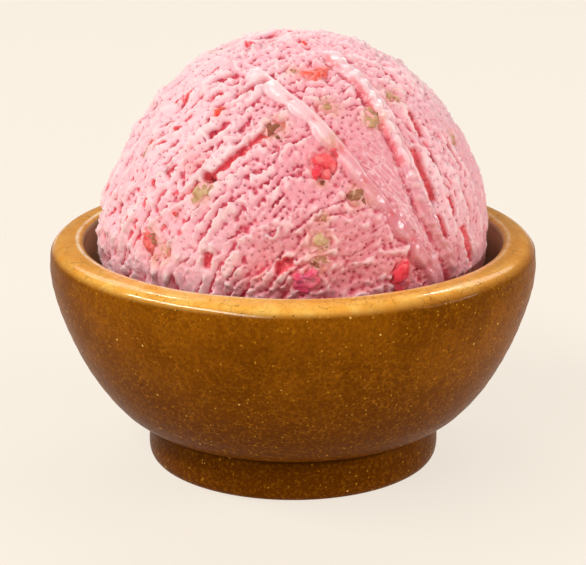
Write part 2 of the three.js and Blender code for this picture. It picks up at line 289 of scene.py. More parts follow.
# azimuth, elevation, distance, width and height, power, colour
SOFTBOXES = {
    "key": (-55, 48, 0.9, (1.1, 0.09), 6.6, (1.0, 0.97, 0.94)),
    "rim": (78, 20, 0.8, (0.5, 0.12), 2.9, (1.0, 0.97, 0.95)),
    "fill": (20, 55, 1.0, (0.7, 0.7), 0.3, (1.0, 0.96, 0.95)),
    "back": (180, 42, 0.9, (1.2, 0.35), 2.6, (0.98, 0.97, 0.96)),
    "low": (-35, 23, 0.9, (0.8, 0.3), 1.3, (1.0, 0.96, 0.94)),
    "left streak": (-168, 47, 0.9, (0.32, 0.025), 0.7, (1.0, 0.98, 0.94)),
    "right streak": (162, 42, 0.9, (0.18, 0.025), 0.4, (1.0, 0.98, 0.94)),
}


def srgb(r, g, b, alpha=1.0):
    """A colour given as 0 to 255 screen values, as the linear colour that shaders take."""
    channels = [c / 255 for c in (r, g, b)]
    linear = [c / 12.92 if c <= 0.04045 else ((c + 0.055) / 1.055) ** 2.4 for c in channels]
    return (*linear, alpha)


# ---- smooth fields ----

def lerp(a, b, t):
    return a + (b - a) * t


def fraction(x):
    return x - np.floor(x)


def smoothstep(x, low=0.0, high=1.0):
    t = np.clip((x - low) / (high - low), 0.0, 1.0)
    return t * t * (3 - 2 * t)


def rise_fall(x, rise, fall):
    """Rises from 0 to 1 between the first two limits and falls back between the last two."""
    return smoothstep(x, *rise) * (1 - smoothstep(x, *fall))


def grid_value(i, j, k):
    """A repeatable value from -1 to 1 for each point of a whole-number grid."""
    return fraction(np.sin(i * 127.1 + j * 311.7 + k * 74.7) * 43758.5453) * 2 - 1


def noise(points, size, shift=0.0):
    """A smooth field from -1 to 1 whose lumps are about `size` across, for an array of points."""
    x, y, z = (points / size).T
    x = x + shift
    i, j, k = np.floor(x), np.floor(y), np.floor(z)
    u, v, w = smoothstep(x - i), smoothstep(y - j), smoothstep(z - k)

    def layer(dk):
        rows = [lerp(grid_value(i, y, k + dk), grid_value(i + 1, y, k + dk), u) for y in (j, j + 1)]
        return lerp(*rows, v)

    return lerp(layer(0), layer(1), w)


def direction(place):
    a, e = (math.radians(angle) for angle in place)
    return np.array([math.sin(a) * math.cos(e), -math.cos(a) * math.cos(e), math.sin(e)])


def angles(dirs):
    """Azimuth and elevation of each direction, in degrees."""
    return np.degrees(np.arctan2(dirs[:, 0], -dirs[:, 1])), np.degrees(np.arcsin(np.clip(dirs[:, 2], -1, 1)))


def unit(vectors):
    return vectors / np.linalg.norm(vectors, axis=-1, keepdims=True)


def bell(x, middle, width):
    return np.exp(-(((x - middle) / width) ** 2))


def near(dirs, place, reach):
    """1 at a place on the scoop, and falling away from it within about `reach` degrees."""
    angle = np.degrees(np.arccos(np.clip(dirs @ direction(place), -1, 1)))
    return bell(angle, 0, reach)


# ---- pieces ----

def add_object(name, data):
    made = bpy.data.objects.new(name, data)
    bpy.context.scene.collection.objects.link(made)
    return made


def new_mesh(name, bm, material):
    mesh = bpy.data.meshes.new(name)
    bm.to_mesh(mesh)
    bm.free()
    mesh.materials.append(material)
    return mesh


def new_piece(name, bm, material, node):
    """Makes a piece, which stands for a solid of the part, from a shape in millimetres. Returns its mesh."""
    bmesh.ops.scale(bm, vec=(MM, MM, MM), verts=bm.verts)
    mesh = new_mesh(name, bm, material)
    mesh.polygons.foreach_set("use_smooth", [True] * len(mesh.polygons))
    piece = add_object(name, mesh)
    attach(piece, BODY)
    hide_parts(node)
    return mesh


def read(items, key, width, kind=float):
    """The numbers that a mesh keeps for its vertices or edges, one row for each of them."""
    flat = np.empty(len(items) * width, dtype=kind)
    items.foreach_get(key, flat)
    return flat.reshape(-1, width)


def positions(mesh):
    return read(mesh.vertices, "co", 3)


def set_positions(mesh, points):
    mesh.vertices.foreach_set("co", points.ravel())
    mesh.update()


def set_values(mesh, name, values):
    """Stores one number for each vertex, which a material reads by name."""
    attribute = mesh.attributes.new(name, "FLOAT", "POINT")
    attribute.data.foreach_set("value", np.asarray(values, dtype=np.float32))


# ---- the bowl ----

def curve(steps, *corners):
    """Points of a Bezier curve through its first and last (radius, height), without the first one."""
    order = len(corners) - 1
    points = []
    for step in range(1, steps + 1):
        t = step / steps
        weights = [math.comb(order, k) * t**k * (1 - t) ** (order - k) for k in range(order + 1)]
        radius, height = (sum(w * corner[axis] for w, corner in zip(weights, corners)) for axis in (0, 1))
        points.append((radius, height))
    return points


def bowl_profile():
    """The turned outline, as (radius, height), from the middle of the recess beneath to that of the floor."""
    foot_top = (FOOT_TOP_R, FOOT_HEIGHT)
    belly_r = FOOT_BELLY[0]
    widest = (BOWL_RADIUS, WIDEST_Z)
    points = [(0.0, RECESS[1])]
    for steps, *corners in (
        (8, (0.0, RECESS[1]), RECESS),
        (4, RECESS, (FOOT_INNER_R, 0.3)),
        (2, (FOOT_INNER_R, 0.3), (FOOT_INNER_R + 0.1, 0.0), (FOOT_INNER_R + 0.5, 0.0)),
        (3, (FOOT_INNER_R + 0.5, 0.0), (FOOT_EDGE_R, 0.0)),
        (6, (FOOT_EDGE_R, 0.0), (belly_r - 0.1, 0.1), FOOT_BELLY),
        (8, FOOT_BELLY, (belly_r + 0.05, FOOT_HEIGHT / 2 + 1), foot_top),
        (6, foot_top, (FOOT_TOP_R - 0.05, BODY_START[1] - 0.1), BODY_START),
        (36, BODY_START, (36.2, 9.1), (BOWL_RADIUS, 29.7), widest),
        (5, widest, (BOWL_RADIUS, WIDEST_Z + 1.5), SHOULDER),
        (8, SHOULDER, (SHOULDER[0] - 0.5, LIP_OUTER[1] - 0.45), LIP_OUTER),
        (8, LIP_OUTER, (LIP_OUTER[0] - 1.2, BOWL_HEIGHT), LIP_CREST),
        (8, LIP_CREST, (LIP_INNER[0] + 0.1, BOWL_HEIGHT), LIP_INNER),
        (4, LIP_INNER, INNER_WALL),
        (20, INNER_WALL, (38.4, 21.0), (27.0, FLOOR[1]), FLOOR),
        (4, FLOOR, (0.0, FLOOR[1])),
    ):
        points += curve(steps, *corners)
    return points


def make_bowl():
    bm = bmesh.new()
    verts = [bm.verts.new((r, 0.0, z)) for r, z in bowl_profile()]
    edges = [bm.edges.new(pair) for pair in zip(verts, verts[1:])]
    bmesh.ops.spin(
        bm, geom=verts + edges, cent=(0, 0, 0), axis=(0, 0, 1), dvec=(0, 0, 0),
        angle=2 * math.pi, steps=BOWL_STEPS, use_merge=True, use_duplicate=False,
    )
    bmesh.ops.remove_doubles(bm, verts=bm.verts, dist=1e-3)
    bmesh.ops.recalc_face_normals(bm, faces=bm.faces)
    mesh = new_piece("stoneware_bowl", bm, bowl_material(), "bowl")
    mark_inside(mesh)
    make_uneven(mesh)


def mark_inside(mesh):
    """1 on the inner wall and floor, 0 outside, with a soft change just under the lip's inner rounding."""
    points = positions(mesh) / MM
    normals = read(mesh.vertices, "normal", 3)
    radius = np.maximum(np.hypot(points[:, 0], points[:, 1]), 1e-6)
    inward = -(normals[:, :2] * points[:, :2]).sum(axis=1) / radius
    wall = smoothstep(inward, 0.55, 0.98)
    floor = smoothstep(normals[:, 2], 0.5, 0.9) * (radius < LIP_INNER[0] - 3)
    set_values(mesh, "inside", np.maximum(wall, floor) * (points[:, 2] > RECESS[1] + 1))


def make_uneven(mesh):
    """A turned bowl isn't quite round: glaze pools a little and the wall keeps faint throwing rings."""
    points = positions(mesh) / MM
    radius = np.hypot(points[:, 0], points[:, 1])
    height = points[:, 2]
    above_foot = smoothstep(height, 1.0, 6.0)
    below_crest = 1 - 0.8 * smoothstep(height, BOWL_HEIGHT - 0.6, BOWL_HEIGHT)
    swell = GLAZE_UNEVEN * (noise(points, 13, 2) + 0.5 * noise(points, 5, 9)) - GLAZE_UNEVEN
    rings = THROWING_RINGS * np.sin(height * 2.4 + 1.2 * noise(points, 20, 4))
    change = (swell + rings) * above_foot * below_crest
    factor = 1 + change / np.maximum(radius, 1.0)
    points[:, :2] *= factor[:, None]
    points[:, 2] += LIP_UNEVEN * (noise(points, 9, 31) - 1) * smoothstep(height, BOWL_HEIGHT - 3, BOWL_HEIGHT)
    set_positions(mesh, points * MM)


# ---- the scoop's form ----

def place_by_line(dirs, places):
    """Millimetres from each direction to a line of places, positive on its left, and along it; its length."""
    line = [direction(place) for place in places]
    nearest = np.full(len(dirs), np.inf)
    along_line = np.zeros(len(dirs))
    walked = 0.0
    for a, b in zip(line, line[1:]):
        along = b - a
        t = (dirs - a) @ along / (along @ along)
        foot = unit(a + np.clip(t, 0, 1)[:, None] * along)
        distance = np.arccos(np.clip((dirs * foot).sum(axis=1), -1, 1)) * SCOOP_RADIUS
        side = np.where(dirs @ np.cross(a, b) < 0, -1.0, 1.0)
        length = math.acos(float(a @ b)) * SCOOP_RADIUS
        closer = distance < np.abs(nearest)
        nearest = np.where(closer, distance * side, nearest)
        along_line = np.where(closer, walked + np.clip(t, 0, 1) * length, along_line)
        walked += length
    return nearest, along_line, walked


def swell_height(dirs):
    total = np.zeros(len(dirs))
    for place, reach, height in SWELLS:
        total += height * near(dirs, place, reach)
    return total


def rows_frame(dirs):
    """For each direction: millimetres across the rows of flakes and along them, and the way across."""
    turn = direction(SPADE_TURN)
    azimuth, elevation = angles(dirs)
    level = np.sqrt(np.maximum(1 - dirs[:, 2] ** 2, 0))
    cosine = np.clip(dirs @ turn, -1, 1)
    turned = np.degrees(np.arccos(cosine))
    down = (azimuth - RIGHT_ROWS_ORIGIN[0]) * level + RIGHT_ROWS_ORIGIN[1]
    right = rise_fall(azimuth, RIGHT_ROWS_FROM, RIGHT_ROWS_FADE)
    across = np.radians(lerp(turned, down, right)) * SCOOP_RADIUS

    up = unit(np.array([0, 0, 1]) - turn * turn[2])
    side = np.cross(turn, up)
    around = np.arctan2(dirs @ side, dirs @ up)
    along_turned = around * np.sin(np.radians(turned)) * SCOOP_RADIUS
    along_down = np.radians(elevation) * SCOOP_RADIUS
    along = lerp(along_turned, along_down, right)

    away = dirs * cosine[:, None] - turn
    sideways = np.stack([-dirs[:, 1], dirs[:, 0], np.zeros(len(dirs))], axis=1)
    way = unit(unit(away) * (1 - right)[:, None] + unit(sideways + 1e-9) * right[:, None])
    return across, along, way


def saw(row, edge):
    """Rises slowly and falls over the last `edge` share of each row, from 0 to 1 and back."""
    rise = fraction(row)
    return np.where(rise < 1 - edge, rise / (1 - edge), (1 - rise) / edge)


def flat_noise(u, v):
    """Noise over two numbers, such as a place along a row and the row's own number."""
    return noise(np.stack([u, v, np.zeros(len(u))], axis=1), 1.0)


def left_mark(dirs, points):
    """The lobed mark: its height, cover, the red and painted shade of its notches, and the strings and place
    of the web beyond it.
    """
    x, s, _ = place_by_line(dirs, BLADE_CREST)
    start = smoothstep(s, 0, 9)
    lobe = 0.5 + 0.5 * np.cos(2 * math.pi * (s / LEFT_LOBE + 0.35 * noise(points, 11, 17)))
    notch = (1 - lobe) ** 5
    edge = 0.3 * noise(points, 1.6, 12) - lerp(*LEFT_MARK_WIDTH, lobe)
    inwards = np.clip((x - edge) / -edge, 0, 1)
    dome = smoothstep(inwards, 0, 0.45) * (1 - 0.3 * smoothstep(inwards, 0.5, 1.0))
    height = lerp(*LEFT_MARK_HEIGHT, lobe) * dome * (1 - smoothstep(x, 0.0, 0.7)) + 0.16 * bell(x, 0, 0.2)
    height -= NOTCH_DEPTH * notch * bell(x, -0.8, 0.7) + 0.12 * bell(x, 0.9, 0.4)
    cover = rise_fall(x, (edge - 0.3, edge + 0.4), (0.3, 0.9)) * start
    filled = smoothstep(grid_value(np.floor(s / LEFT_LOBE), 0, 9), -0.6, 0)
    # red with painted shade in the notches between the lobes
    red = 0.3 * notch * bell(x, -0.5, 0.5) * filled * start
    steep_strings = bell(flat_noise((x - 0.3 * s) / 0.75, s / 7), 0, 0.3)
    slanting_strings = bell(flat_noise((x - 0.75 * s) / 1.3 + 40, s / 6), 0, 0.2)
    web = smoothstep(x, 0.3, 1.0) * smoothstep(s, 24, 36)
    return height * start, cover, red, np.maximum(steep_strings, slanting_strings), web


def right_mark(dirs, points):
    """The beaded ridge and its shelf: height, cover, the red and painted shade of its flank, and 1 where the
    web may lie before it.
    """
    x, s, _ = place_by_line(dirs, BLADE_BEADS)
    start = smoothstep(s, 0, 5)
    bead = 0.5 + 0.5 * np.cos(2 * math.pi * (s / RIGHT_BEAD + 0.5 * noise(points, 4, 77)))
    sway = 0.3 * noise(points, 1.5, 41)
    broad = lerp(*RIGHT_MARK_WIDTH, 1 - smoothstep(s, 3, 13))
    ridge = bell(x + sway, 0, broad) * (0.56 + 0.52 * bead)
    shelf_end = SHELF_WIDTH + 0.35 * flat_noise(s / 1.5, s * 0 + 3)
    shelf = rise_fall(x, (0.6, 1.2), (shelf_end, shelf_end + 0.25))
    height = RIGHT_MARK_HEIGHT * ridge - 0.5 * bell(x, -2.0, 0.6) + SHELF_HEIGHT * shelf
    cover = np.maximum(bell(x, 0, 0.45 + broad), 0.7 * shelf)
    flank = smoothstep(flat_noise(s / 4.5, s * 0 + 8), -0.1, 0.4)
    # red with painted shade along the ridge's flank
    red = 0.36 * flank * bell(x + sway, -1.25, 0.55)
    return height * start, cover * start, red * start, 1 - smoothstep(x, -2.4, -1.4)


def blade_marks(dirs, points):
    """Height of the two raised marks, how much they cover the flakes, their red with painted shade, and the
    web between.
    """
    left, cover_left, left_red_and_shade, strings, web = left_mark(dirs, points)
    right, cover_right, right_red_and_shade, before_right = right_mark(dirs, points)
    web = web * before_right
    cover = np.maximum(np.maximum(cover_left, cover_right), 0.7 * web)
    return left + right + WEB_HEIGHT * strings * web, cover, np.maximum(left_red_and_shade, right_red_and_shade), web


def tears(dirs, points):
    """Depth of the torn slots, sheer under a toothed edge and gentle on the other side, and their red with
    painted shade, darkest near the sheer side.
    """
    depth = np.zeros(len(dirs))
    red = np.zeros(len(dirs))
    ragged = 0.3 * noise(points, 0.9, 61) + 0.2 * noise(points, 0.5, 23)
    for tear in TEARS:
        distance, s, length = place_by_line(dirs, tear.ends)
        taper = rise_fall(s, (0, 1.5), (length - 1.5, length))
        x = (distance + ragged * tear.ragged) / tear.width + 0.5 * (1 - taper)
        shape = rise_fall(x, (-1.0, -0.72), (tear.floor, tear.floor + 1.6))
        lip = 0.18 * bell(x, -1.5, 0.5)
        depth = np.maximum(depth, (tear.depth * shape - lip) * taper)
        bright = rise_fall(x, (-1.2, -0.9), (tear.floor, tear.floor + 1.5))
        red = np.maximum(red, tear.red * taper * bright * (0.62 + 0.38 * bell(x, -0.8, 0.4)))
    return depth, red


def small_slots(across, along, points):
    """Depth, from 0 to 1, of the short slots torn along the rows, which are sheer on one side."""
    depth = np.zeros(len(across))
    across = across + 0.5 * noise(points, 3.0, 44) + 0.08 * noise(points, 0.6, 45)
    column, place = np.floor(across / SLOT_CELL[0]), np.floor(along / SLOT_CELL[1])
    for i in (column - 1, column, column + 1):
        for j in (place - 1, place, place + 1):
            middle_across = (i + 0.5 + 0.35 * grid_value(i, j, 1)) * SLOT_CELL[0]
            middle_along = (j + 0.5 + 0.45 * grid_value(i, j, 2)) * SLOT_CELL[1]
            half = lerp(*SLOT_HALF, (0.5 + 0.5 * grid_value(i, j, 3)) ** 2)
            strength = smoothstep(grid_value(i, j, 4), -0.5, 0.7)
            taper = 1 - smoothstep(np.abs(along - middle_along) / half, 0.35, 1.0)
            x = (across - middle_across) / SLOT_WIDTH + 0.5 * (1 - taper)
            shape = rise_fall(x, (-1.0, -0.55), (0.0, 2.0)) * taper
            depth = np.maximum(depth, shape * (0.35 + 0.65 * strength))
    return depth


def parts_of_scoop(dirs, points):
    """How far each direction belongs to each of the scoop's calmer or rougher parts, from 0 to 1."""
    azimuth, elevation = angles(dirs)
    left = smoothstep(-azimuth - LEFT_SIDE_LEAN * elevation, *LEFT_SIDE)
    right = smoothstep(azimuth, *RIGHT_SIDE) * (1 - smoothstep(elevation, *RIGHT_SIDE_TOP))
    side = np.maximum(left, right)
    broad = smoothstep(noise(points, 8, 33) + 0.5 * side, 0.1, 0.6) + 0.2 * near(dirs, *BROAD_FLAKES)
    return {
        "left": left, "right": right, "side": side, "broad": np.clip(broad, 0, 1),
        "right_front": right * (1 - smoothstep(azimuth, *RIGHT_SIDE_END)),
        "between": near(dirs, *BETWEEN_MARKS), "low": near(dirs, *LOW_FRONT),
        "low_left": near(dirs, *LOW_LEFT), "whirl": near(dirs, *WHIRL),
        "above_lip": smoothstep(elevation, *ABOVE_LIP),
    }


def spade_steps(across, points, part):
    """The spade's wide steps: how far up its step each direction is, from 0 to 1, and the step's height."""
    tooth = 0.6 * noise(points, 1.0, 71) + 0.35 * noise(points, 0.55, 31)
    drift = STEP_WANDER * noise(points, 11, 3)
    step = saw((across + drift + tooth) / STEP_PITCH, STEP_EDGE)
    lively = math.prod(1 - share * part[name] for name, share in STEP_CALM.items())
    return step, STEP_HEIGHT * lively * smoothstep(noise(points, 6, 20), -0.7, 0.7)


def flake_rows(across, along, points, part):
    """Narrow rows of beaded flakes: their height, and how far their edges hang over."""
    row = (across + 1.3 * noise(points, 5, 5) + 0.5 * noise(points, 1.9, 15)) / ROW_PITCH
    index = np.floor(row)
    place = row - index
    number = index * 7.31
    cut = np.clip(0.5 + 0.8 * flat_noise(along / 0.5, number), 0, 1)
    reach = 0.86 - (0.5 - 0.3 * part["broad"]) * (1 - cut)
    rise = np.clip(place / reach, 0, 1) ** 0.8
    drop = 1 - smoothstep(place, reach, reach + ROW_FALL)
    bead = 0.82 + 0.6 * flat_noise(along + 9, number)
    flake = rise * drop * bead
    lively = 1 - sum(share * part[name] for name, share in ROW_CALM.items())
    strength = lively * smoothstep(flat_noise(along / 2.6, number + 3), -0.5, 0.3)
    height = ROW_HEIGHT * strength * (flake - 0.55) + 0.25 * flat_noise(along / 7.0, number)
    return height, ROW_CURL * strength * smoothstep(flake, 0.4, 1.0)


def lumps(across, along, points, part):
    """Height of the soft lumps, of the torn pads on the left side, and of the crumbs."""
    soft = LUMP_HEIGHT * noise(points, 5, 50) + 0.5 * part["low_left"] * noise(points, 3.0, 64)
    soft += 0.45 * part["left"] * noise(points, 7.5, 12)
    pad = (across + 1.2 * noise(points, 6, 81)) / PAD_PITCH
    pads = flat_noise(along / PAD_LENGTH, np.floor(pad) * 3.7) * (1.2 - fraction(pad))
    crumb_height = 0.14 - 0.1 * part["side"] + 0.2 * part["low"]
    crumbs = crumb_height * noise(points, 1.1, 90) + 0.06 * noise(points, 0.5, 19)
    return soft + PAD_HEIGHT * part["left"] * pads + crumbs


def scoop_relief(dirs):
    """Everything the ball's surface is made from, for an array of directions."""
    points = dirs * SCOOP_RADIUS
    part = parts_of_scoop(dirs, points)
    across, along, way = rows_frame(dirs)
    across = across + WHIRL_BEND * part["whirl"] * noise(points, 10, 52)
    mark, cover, mark_red_and_shade, web = blade_marks(dirs, points)
    tear, red = tears(dirs, points)
    open_surface = 1 - cover
    step, step_height = spade_steps(across, points, part)
    rows, row_curl = flake_rows(across, along, points, part)
    slot = small_slots(across, along, points) * np.maximum(0.15 + 0.85 * part["left"], 0.4 * part["right"])
    slot *= 0.25 + 0.75 * part["above_lip"]
    flakes = step_height * (step - 0.5) + rows + lumps(across, along, points, part) - SLOT_DEPTH * slot
    shows = lerp(HIDDEN_RELIEF, 1.0, smoothstep(dirs[:, 2], *HIDDEN_IN_BOWL))
    step_curl = STEP_CURL * step_height / STEP_HEIGHT * smoothstep(step, 0.5, 1.0)
    # the short slots are tinted dark red as painted shade
    red = np.maximum(np.maximum(red, mark_red_and_shade), 0.8 * smoothstep(slot, 0.1, 0.7) * open_surface)
    return {
        "swell": swell_height(dirs), "relief": (flakes * open_surface + mark - tear) * shows,
        "curl": open_surface * (step_curl + row_curl), "way": way, "red": red,
        "cover": cover, "gloss": cover * (1 - web), "web": web,
        "dip": (1 - 0.4 * part["broad"]) * (1 - 0.6 * part["left"]),
        "pitted": 1 - np.maximum(0.9 * cover, 0.7 * part["low_left"]),
    }


def scoop_radius(place):
    return SCOOP_RADIUS + float(swell_height(direction(place)[None, :])[0])


# ---- bits in the scoop ----

def back_bits():
    """Bits that can't be seen from the front, spread by the golden ratio: each third one is cherry."""
    cherries, pistachios = [], []
    for i in range(BACK_BITS):
        azimuth = 180 + (fraction(i * GOLDEN_STEP) - 0.5) * BACK_BITS_SPREAD
        if abs(azimuth - 180) > BACK_BITS_REACH:
            continue
        elevation = math.degrees(math.asin(lerp(*BACK_BITS_SINES, (i + 0.5) / BACK_BITS)))
        length = lerp(*BACK_BITS_LENGTH, fraction(i * SIZE_STEP))
        turn = 360 * fraction(i * SIZE_STEP)
        bit = Bit((azimuth, elevation), (length, length * 0.7), turn, fraction(i * 0.37), BACK_BITS_PROUD)
        (cherries if i % 3 == 0 else pistachios).append(bit)
    return cherries, pistachios


def bit_axes(bit):
    """The directions out of the scoop, along a bit and across it."""
    out = direction(bit.at)
    right = unit(np.cross((0, 0, 1), out))
    turn = math.radians(bit.turn)
    along = right * math.cos(turn) + np.cross(out, right) * math.sin(turn)
    return out, along, np.cross(out, along)


def pockets(dirs, points, bits):
    """1 under a bit and close round it, fading out over a ragged rim."""
    inside = np.zeros(len(dirs))
    ragged = 0.5 * noise(points, 0.9, 7)
    for bit in bits:
        out, along, across = bit_axes(bit)
        length, width = bit.size
        from_middle = np.hypot(dirs @ along / length, dirs @ across / width) * 2 * SCOOP_RADIUS
        beyond = (from_middle - 1) * width / 2 + ragged
        inside = np.maximum(inside, (1 - smoothstep(beyond, *POCKET_RIM)) * (dirs @ out > 0.5))
    return inside


def lay_on_scoop(bm, verts, bit, thickness):
    """Scales a lump of radius 1, turns it, and lays it flat on the scoop's surface."""
    out, along, across = bit_axes(bit)
    centre = SCOOP_CENTRE + out * (scoop_radius(bit.at) + bit.proud - thickness / 2)
    basis = Matrix((along, across, out)).transposed().to_4x4()
    length, width = bit.size
    shape = Matrix.Diagonal((length / 2, width / 2, thickness / 2, 1))
    bmesh.ops.transform(bm, matrix=Matrix.Translation(centre) @ basis @ shape, verts=verts)


def roughen(verts, rng):
    """Adds grain to a ball of radius 1."""
    points = np.array([vert.co for vert in verts])
    shift = rng.uniform(0, 50)
    fine = GRAIN_HEIGHT / 2 * noise(points, GRAIN_SIZE / 2, shift)
    grain = 1 + GRAIN_HEIGHT * noise(points, GRAIN_SIZE, shift) + fine
    for vert, factor in zip(verts, grain):
        vert.co *= float(factor)


def bury_values(mesh):
    """1 where a bit lies at the scoop's surface or below it, 0 where it stands out."""
    points = positions(mesh) / MM - SCOOP_CENTRE
    length = np.linalg.norm(points, axis=1)
    dirs = points / length[:, None]
    out = length - SCOOP_RADIUS - swell_height(dirs)
    return 1 - smoothstep(out + 0.25 * noise(points, 0.9, 3), -0.25, 0.35)


def chop(verts, rng, cuts):
    """Presses flat facets into a ball of radius 1, as a knife leaves them."""
    planes = [(Vector(unit(rng.normal(size=3))), rng.uniform(*CHOP_LIMITS)) for _ in range(cuts)]
    for vert in verts:
        for normal, limit in planes:
            over = vert.co.dot(normal) - limit
            if over > 0:
                vert.co -= normal * over


def add_crumbs(bm, rng, bit, shares, reach, cuts):
    """One chopped lump, with smaller ones pressed against it, laid on the scoop."""
    tones = []
    for crumb, share in enumerate(shares):
        verts = bmesh.ops.create_icosphere(bm, subdivisions=4, radius=1.0)["verts"]
        chop(verts, rng, cuts)
        axes = {"use_axis_x": True, "use_axis_y": True, "use_axis_z": True}
        bmesh.ops.smooth_vert(bm, verts=verts, factor=0.5, **axes)
        roughen(verts, rng)
        angle = rng.uniform(0, 2 * math.pi)
        length, width = bit.size
        step = np.array([math.cos(angle) * length, math.sin(angle) * width]) * reach * min(crumb, 1)
        azimuth, elevation = bit.at
        level = max(math.cos(math.radians(elevation)), 0.2)
        turned = np.degrees(step / SCOOP_RADIUS)
        part = bit._replace(
            at=(azimuth + turned[0] / level, elevation + turned[1]), size=(length * share, width * share),
            turn=bit.turn + 70 * crumb, proud=bit.proud - 0.1 * crumb,
        )
        lay_on_scoop(bm, verts, part, BIT_THICKNESS * (0.5 + 0.5 * share))
        tones += [min(max(bit.tone + rng.uniform(-0.2, 0.2), 0), 1)] * len(verts)
    return tones


def make_bits(name, bits, material, seed, shares, reach, cuts):
    """All bits of one kind as one piece, each of them chopped into crumbs that are pressed together."""
    bm = bmesh.new()
    rng = np.random.default_rng(seed)
    tones = []
    for bit in bits:
        tones += add_crumbs(bm, rng, bit, shares, reach, cuts)
    mesh = new_piece(name, bm, material, "ice_cream")
    set_values(mesh, "tone", tones)
    set_values(mesh, "buried", bury_values(mesh))


# ---- the scoop ----

def neighbour_mean(values, edges, counts, rounds):
    """Each vertex's value averaged with its neighbours', again and again."""
    for _ in range(rounds):
        total = values.copy()
        np.add.at(total, edges[:, 0], values[edges[:, 1]])
        np.add.at(total, edges[:, 1], values[edges[:, 0]])
        values = total / (counts + 1)
    return values


def press_pores(dirs, open_surface):
    """How deep each vertex lies in one of many evenly scattered pores, and in the soft dip round it."""
    rng = np.random.default_rng(PORE_SEED)
    number = np.arange(PORE_COUNT)
    height = 1 - 2 * (number + 0.5) / PORE_COUNT
    level = np.sqrt(1 - height**2)
    angle = 2 * math.pi * fraction(number * GOLDEN_STEP)
    places = np.stack([level * np.cos(angle), level * np.sin(angle), height], axis=1)
    places = unit(places + rng.normal(scale=PORE_JITTER, size=places.shape))
    places = places[places[:, 2] > math.sin(math.radians(SHOWS_ABOVE))]
    tree = KDTree(len(places))
    for index, place in enumerate(places):
        tree.insert(place, index)
    tree.balance()

    owner, distance = (np.array(column) for column in zip(*(tree.find(place)[1:] for place in dirs)))
    distance = distance * SCOOP_RADIUS
    order = np.lexsort((distance, owner))
    nearest = order[np.unique(owner[order], return_index=True)[1]]
    strength = rng.uniform(0.35, 1.0, len(places))
    pores = bell(distance, 0, PORE_SIZE) * strength[owner]
    pores[nearest] = strength[owner[nearest]]
    return pores * open_surface, bell(distance, 0, PORE_DIP_REACH) * open_surface


def stain(dirs, bits, reach):
    """How strongly bits tint the ice cream round them."""
    strength = np.zeros(len(dirs))
    for bit in bits:
        tinted = math.degrees((bit.size[1] / 2 + reach) / SCOOP_RADIUS)
        strength = np.maximum(strength, near(dirs, bit.at, tinted))
    return strength


def make_ball():
    """A ball of radius 1, with its finest faces at the front and coarse ones where the bowl hides it."""
    bm = bmesh.new()
    bmesh.ops.create_icosphere(bm, subdivisions=BALL_DETAIL, radius=1.0)
    uncut = 0.9 * min(edge.calc_length() for edge in bm.edges)
    lowest = math.sin(math.radians(SHOWS_ABOVE))
    front = Vector(direction(FRONT))
    front_edge = math.cos(math.radians(FRONT_REACH))
    for cuts, at_front in ((FRONT_CUTS, True), (BACK_CUTS, False)):
        chosen = []
        for edge in bm.edges:
            middle = (edge.verts[0].co + edge.verts[1].co) / 2
            on_this_side = (middle.dot(front) > front_edge) == at_front
            if middle.z > lowest and on_this_side and edge.calc_length() > uncut:
                chosen.append(edge)
        bmesh.ops.subdivide_edges(bm, edges=chosen, cuts=cuts, use_grid_fill=True)
    bmesh.ops.triangulate(bm, faces=bm.faces)
    return bm


def make_scoop(cherries, pistachios):
    mesh = new_piece("ice_cream_scoop", make_ball(), ice_cream_material(), "ice_cream")
    dirs = unit(positions(mesh))
    relief = scoop_relief(dirs)
    pores, dips = press_pores(dirs, relief["pitted"])
    pocket = pockets(dirs, dirs * SCOOP_RADIUS, cherries + pistachios) * (1 - relief["cover"])
    raised = relief["relief"] - PORE_DEPTH * pores - PORE_DIP * relief["dip"] * (dips - 0.3)
    height = relief["swell"] + lerp(raised, -POCKET_DEPTH, pocket)
    edges = read(mesh.edges, "vertices", 2, np.int64)
    counts = np.bincount(edges.ravel(), minlength=len(dirs))
    around = neighbour_mean(height, edges, counts, AROUND_ROUNDS)

    curl = relief["curl"] * (1 - pocket)
    points = SCOOP_CENTRE + dirs * (SCOOP_RADIUS + height)[:, None] + relief["way"] * curl[:, None]
    points[:, 2] = np.maximum(points[:, 2], SCOOP_BASE_Z)
    set_positions(mesh, points * MM)

    # Values the material reads. One is how far a vertex lies below its neighbours, painted as shade in
    # hollows and as highlight on crests; another is the red of the tears, notches and slots with their
    # painted shade.
    values = {
        "pore": pores, "hollow_shading": np.clip((around - height) / 0.5, -1, 1), "tear": relief["red"],
        "web": relief["web"], "mark": relief["gloss"],
        "cherry_stain": stain(dirs, cherries + JUICE_STAINS, CHERRY_STAIN_REACH),
        "nut_stain": stain(dirs, pistachios, NUT_STAIN_REACH),
    }
    for name, value in values.items():
        set_values(mesh, name, value)


# ---- materials ----

class Nodes:
    """A tree of nodes, with short calls for placing and joining them."""

    def __init__(self, tree):
        self.tree = tree

    def node(self, kind, inputs, **settings):
        made = self.tree.nodes.new(kind)
        for name, value in settings.items():
            setattr(made, name, value)
        for name, value in inputs.items():
            self.feed(made.inputs[name], value)
        return made.outputs

    def feed(self, socket, value):
        if isinstance(value, bpy.types.NodeSocket):
            self.tree.links.new(value, socket)
        else:
            socket.default_value = value

    def remap(self, value, low, high, out_low=0.0, out_high=1.0):
        inputs = {"Value": value, "From Min": low, "From Max": high, "To Min": out_low, "To Max": out_high}
        return self.node("ShaderNodeMapRange", inputs, interpolation_type="SMOOTHSTEP")["Result"]

    def maths(self, operation, a, b=0.0):
        return self.node("ShaderNodeMath", {0: a, 1: b}, operation=operation)["Value"]

    def times(self, a, b):
        return self.maths("MULTIPLY", a, b)

    def vectors(self, operation, inputs):
        return self.node("ShaderNodeVectorMath", inputs, operation=operation)

    def mix(self, share, a, b):
        return self.node("ShaderNodeMix", {"Factor": share, "A": a, "B": b}, data_type="RGBA")["Result"]


